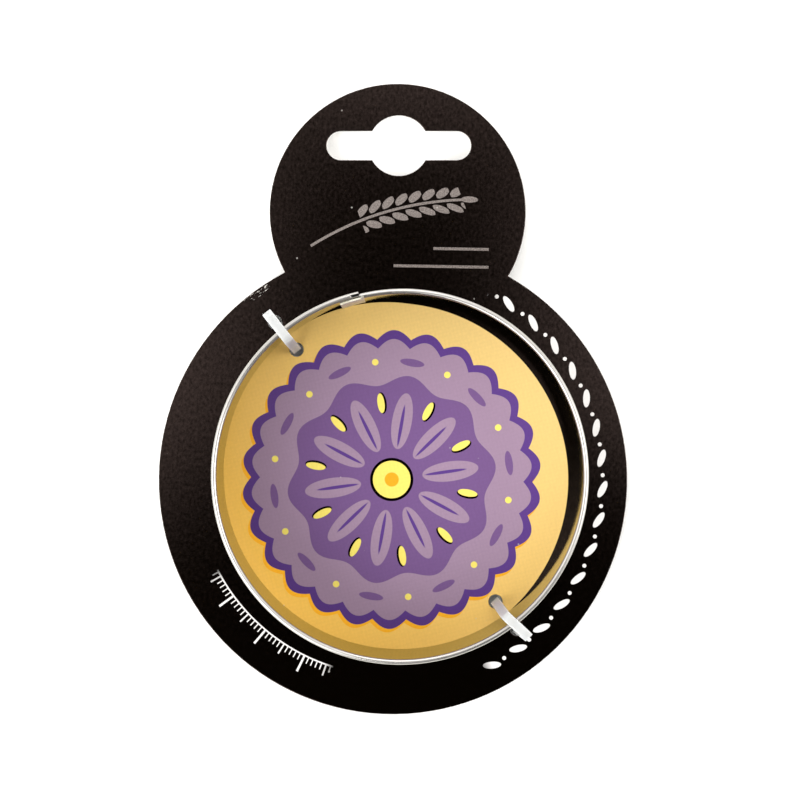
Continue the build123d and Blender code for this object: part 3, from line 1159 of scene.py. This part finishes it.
def tie_head():
    bpy.ops.object.select_all(action="DESELECT")
    at = (OUTER_HOLE, 0, head_height / 2)
    bpy.ops.mesh.primitive_cube_add(size=1, location=at, scale=(HEAD_LENGTH, HEAD_WIDTH, head_height))
    head = open_piece("tie_head")
    pick(head, "EDGE", lambda e: abs(middle(e).z - head_height / 2) < NEAR)
    bpy.ops.mesh.bevel(offset=HEAD_ROUND, segments=5, affect="EDGES")
    half_mouth = (STRAP_THICKNESS / 2 + MOUTH_PLAY, STRAP_WIDTH / 2 + MOUTH_SIDE_PLAY)
    for side in (-1, 1):
        slice_all((OUTER_HOLE + side * half_mouth[0], 0, 0), (1, 0, 0))
        slice_all((0, side * half_mouth[1], 0), (0, 1, 0))

    def over_mouth(face):
        spot = middle(face)
        across = abs(spot.x - OUTER_HOLE) < half_mouth[0] and abs(spot.y) < half_mouth[1]
        return abs(face.normal.z) > SQUARE_ON and across

    pick(head, "FACE", over_mouth)
    bpy.ops.mesh.bridge_edge_loops()
    bpy.ops.object.mode_set(mode="OBJECT")
    sharp = {"limit_method": "ANGLE", "angle_limit": math.radians(60)}
    apply_modifier(head, "BEVEL", width=HEAD_TOP_ROUND, segments=3, **sharp)
    return head


# %% The pawl
PAWL_GAP = 0.06 * MM
PAWL_SHARES = (0.25, 0.4, 0.85)


def tie_pawl():
    wall = OUTER_HOLE + STRAP_THICKNESS / 2 + MOUTH_PLAY
    tip = OUTER_HOLE + STRAP_THICKNESS / 2 + PAWL_GAP
    deep = wall + MOUTH_PLAY
    low, bend, high = [share * head_height for share in PAWL_SHARES]
    size = (deep - tip, STRAP_WIDTH, high - low)
    bpy.ops.object.select_all(action="DESELECT")
    bpy.ops.mesh.primitive_cube_add(size=1, location=((deep + tip) / 2, 0, (low + high) / 2), scale=size)
    pawl = open_piece("tie_pawl")
    slice_all((0, 0, bend), (0, 0, 1))
    pick(pawl, "VERT", lambda v: v.co.x < tip + NEAR and v.co.z > high - NEAR)
    bpy.ops.transform.translate(value=(wall - tip, 0, 0))
    bpy.ops.object.mode_set(mode="OBJECT")
    return pawl


# %% Close a tie round the band
def cable_tie(name, node, angle, shoulder, leans, twist):
    line, total = loop_line(name + "_line", shoulder, leans, twist)
    strap = straight_strap(name, total)
    apply_modifier(strap, "CURVE", object=line, deform_axis="POS_X")
    for part in (tie_head(), tie_pawl()):
        apply_modifier(strap, "BOOLEAN", object=part, operation="UNION", solver="EXACT")
        bpy.data.objects.remove(part)
    bpy.data.objects.remove(line)
    strap.rotation_euler = (0, 0, math.radians(angle))
    strap.location = HOLES_MIDDLE
    settle(strap)
    close_piece(strap)
    strap.data.materials.clear()
    strap.data.materials.append(nylon)
    dress(strap, "card", "natural_nylon", node)
    print(name, "box in mm", in_mm(strap.bound_box[0]), in_mm(strap.bound_box[6]))
    return strap


UPPER_LEFT = {"shoulder": 1.2 * MM, "leans": (-0.7, -0.7), "twist": 0}
LOWER_RIGHT = {"shoulder": 0.4 * MM, "leans": (0.65, 2.7), "twist": 8}

cable_tie("upper_left_strap", "upper_left_tie", HOLES_ANGLE, **UPPER_LEFT)
cable_tie("lower_right_strap", "lower_right_tie", HOLES_ANGLE - 180, **LOWER_RIGHT)

# %% [markdown]
# ## Floor, light and camera
#
# The photograph is a catalogue shot: straight down on white, with four soft lights round the table,
# the strongest at the front left. Its scale, 4.70 pixels to the millimetre on the card, and 4.90 at
# the rim, puts the camera 610 mm above the card, and the card lies one degree round on the table.

# %% White table
TABLE_SIZE = 6.0
MOTTLE_PER_MM = 0.006


def white_table():
    material, tree = new_material("white_table_matt_lacquer")
    place = add_node(tree, "TexCoord").outputs["Object"]
    mottle = add_node(tree, "TexNoise", place, MOTTLE_PER_MM / MM, 2.0, 0.5)
    tone = add_node(tree, "Mix", mottle, colour("FBFBFA"), colour("FFFFFF"), data_type="RGBA")
    lacquer = add_node(tree, "BsdfPrincipled", tone, 0.0, 0.9, named={"Specular IOR Level": 0.0})
    close_material(tree, lacquer)
    return material


bpy.ops.object.select_all(action="DESELECT")
bpy.ops.mesh.primitive_plane_add(size=TABLE_SIZE, location=(0, 0, cad_low.z))
table = open_piece("table")
bpy.ops.object.mode_set(mode="OBJECT")
table.data.materials.append(white_table())

# %% Lights
LAMP_HEIGHT = 0.9
LARGE_BOX = 1.1
SMALL_BOX = 0.8


def soft_box(name, x, y, size, power):
    at = (x, y, LAMP_HEIGHT)
    bpy.ops.object.light_add(type="AREA", location=at)
    lamp = bpy.context.object
    lamp.name = lamp.data.name = name
    lamp.data.shape = "SQUARE"
    lamp.data.size = size
    lamp.data.energy = power
    lamp.rotation_euler = (-Vector(at)).to_track_quat("-Z", "Y").to_euler()
    print(name, "at", at, power, "W")


soft_box("front_left_light", -0.7, -0.7, LARGE_BOX, 15)
soft_box("left_light", -1.1, 0.1, SMALL_BOX, 3)
soft_box("right_light", 1.1, 0.0, SMALL_BOX, 7)
soft_box("back_light", 0.0, 1.2, SMALL_BOX, 4.6)

# %% [markdown]
# ## White walls, dark camera stand
#
# The studio's walls and ceiling are white, and the laminate and the steel mirror them. Straight above
# the card hangs the camera, and its stand and the photographer are dark too: a gap that is narrow at
# the top and widens towards the lower edge of the picture, where the room behind the photographer is
# only dimly lit. That is why the black card shines at its left, right and top edges and is quite black
# at the bottom. The world's shader draws the gap from the direction of view, where X and Y are how
# far a direction leans from straight up.

# %% The studio's walls
GAP_LEFT = -0.067
GAP_RIGHT = 0.064
GAP_TOP = 0.115
GAP_SPREAD_LEFT = 1.0
GAP_SPREAD_RIGHT = 2.0
GAP_BLUR = 0.037
GAP_END = 0.2
GAP_FADED = 0.26
DIM_LEVEL = 0.2
WALL_TINT = colour("FFFDFA")
WALL_STRENGTH = 1.27


def studio_walls():
    world = bpy.data.worlds.new("studio_walls")
    bpy.context.scene.world = world
    world.use_nodes = True
    tree = world.node_tree
    tree.nodes.clear()
    direction = add_node(tree, "TexCoord").outputs["Generated"]
    lean = add_node(tree, "SeparateXYZ", direction)
    down = add_node(tree, "Math", lean.outputs["Y"], -1.0, operation="MULTIPLY")
    below = add_node(tree, "Math", down, 0.0, operation="MAXIMUM")
    left_edge = add_node(tree, "Math", below, -GAP_SPREAD_LEFT, GAP_LEFT, operation="MULTIPLY_ADD")
    right_edge = add_node(tree, "Math", below, GAP_SPREAD_RIGHT, GAP_RIGHT, operation="MULTIPLY_ADD")
    past_left = add_node(tree, "Math", left_edge, lean.outputs["X"], operation="SUBTRACT")
    past_right = add_node(tree, "Math", lean.outputs["X"], right_edge, operation="SUBTRACT")
    past_side = add_node(tree, "Math", past_left, past_right, operation="MAXIMUM")
    past_top = add_node(tree, "Math", lean.outputs["Y"], GAP_TOP, operation="SUBTRACT")
    past_edge = add_node(tree, "Math", past_side, past_top, operation="MAXIMUM")
    wall = add_node(tree, "MapRange", past_edge, -GAP_BLUR, GAP_BLUR, 0.0, 1.0)
    past_end = add_node(tree, "MapRange", below, GAP_END, GAP_FADED, 0.0, DIM_LEVEL)
    light = add_node(tree, "Math", wall, past_end, operation="MAXIMUM")
    shade = add_node(tree, "VectorMath", WALL_TINT[:3], named={"Scale": light}, operation="SCALE")
    add_node(tree, "OutputWorld", add_node(tree, "Background", shade, WALL_STRENGTH))


studio_walls()

# %% Camera
PIXELS = 800
SCALE_ON_CARD = 4.70
CAMERA_HEIGHT = 610 * MM
CAMERA_X = 1.2 * MM
CAMERA_Y = -0.18 * MM
CARD_TURN = math.radians(1.0)
NEAREST = 0.01

camera_at = (CAMERA_X, CAMERA_Y, card_high.z + CAMERA_HEIGHT)
bpy.ops.object.camera_add(location=camera_at, rotation=(0, 0, CARD_TURN))
camera = bpy.context.object
camera.name = "camera"
view_width = PIXELS / SCALE_ON_CARD * MM
camera.data.lens = camera.data.sensor_width * CAMERA_HEIGHT / view_width
camera.data.clip_start = NEAREST
bpy.context.scene.camera = camera
bpy.context.scene.view_settings.view_transform = "Standard"
print("lens", round(camera.data.lens, 1), "mm")
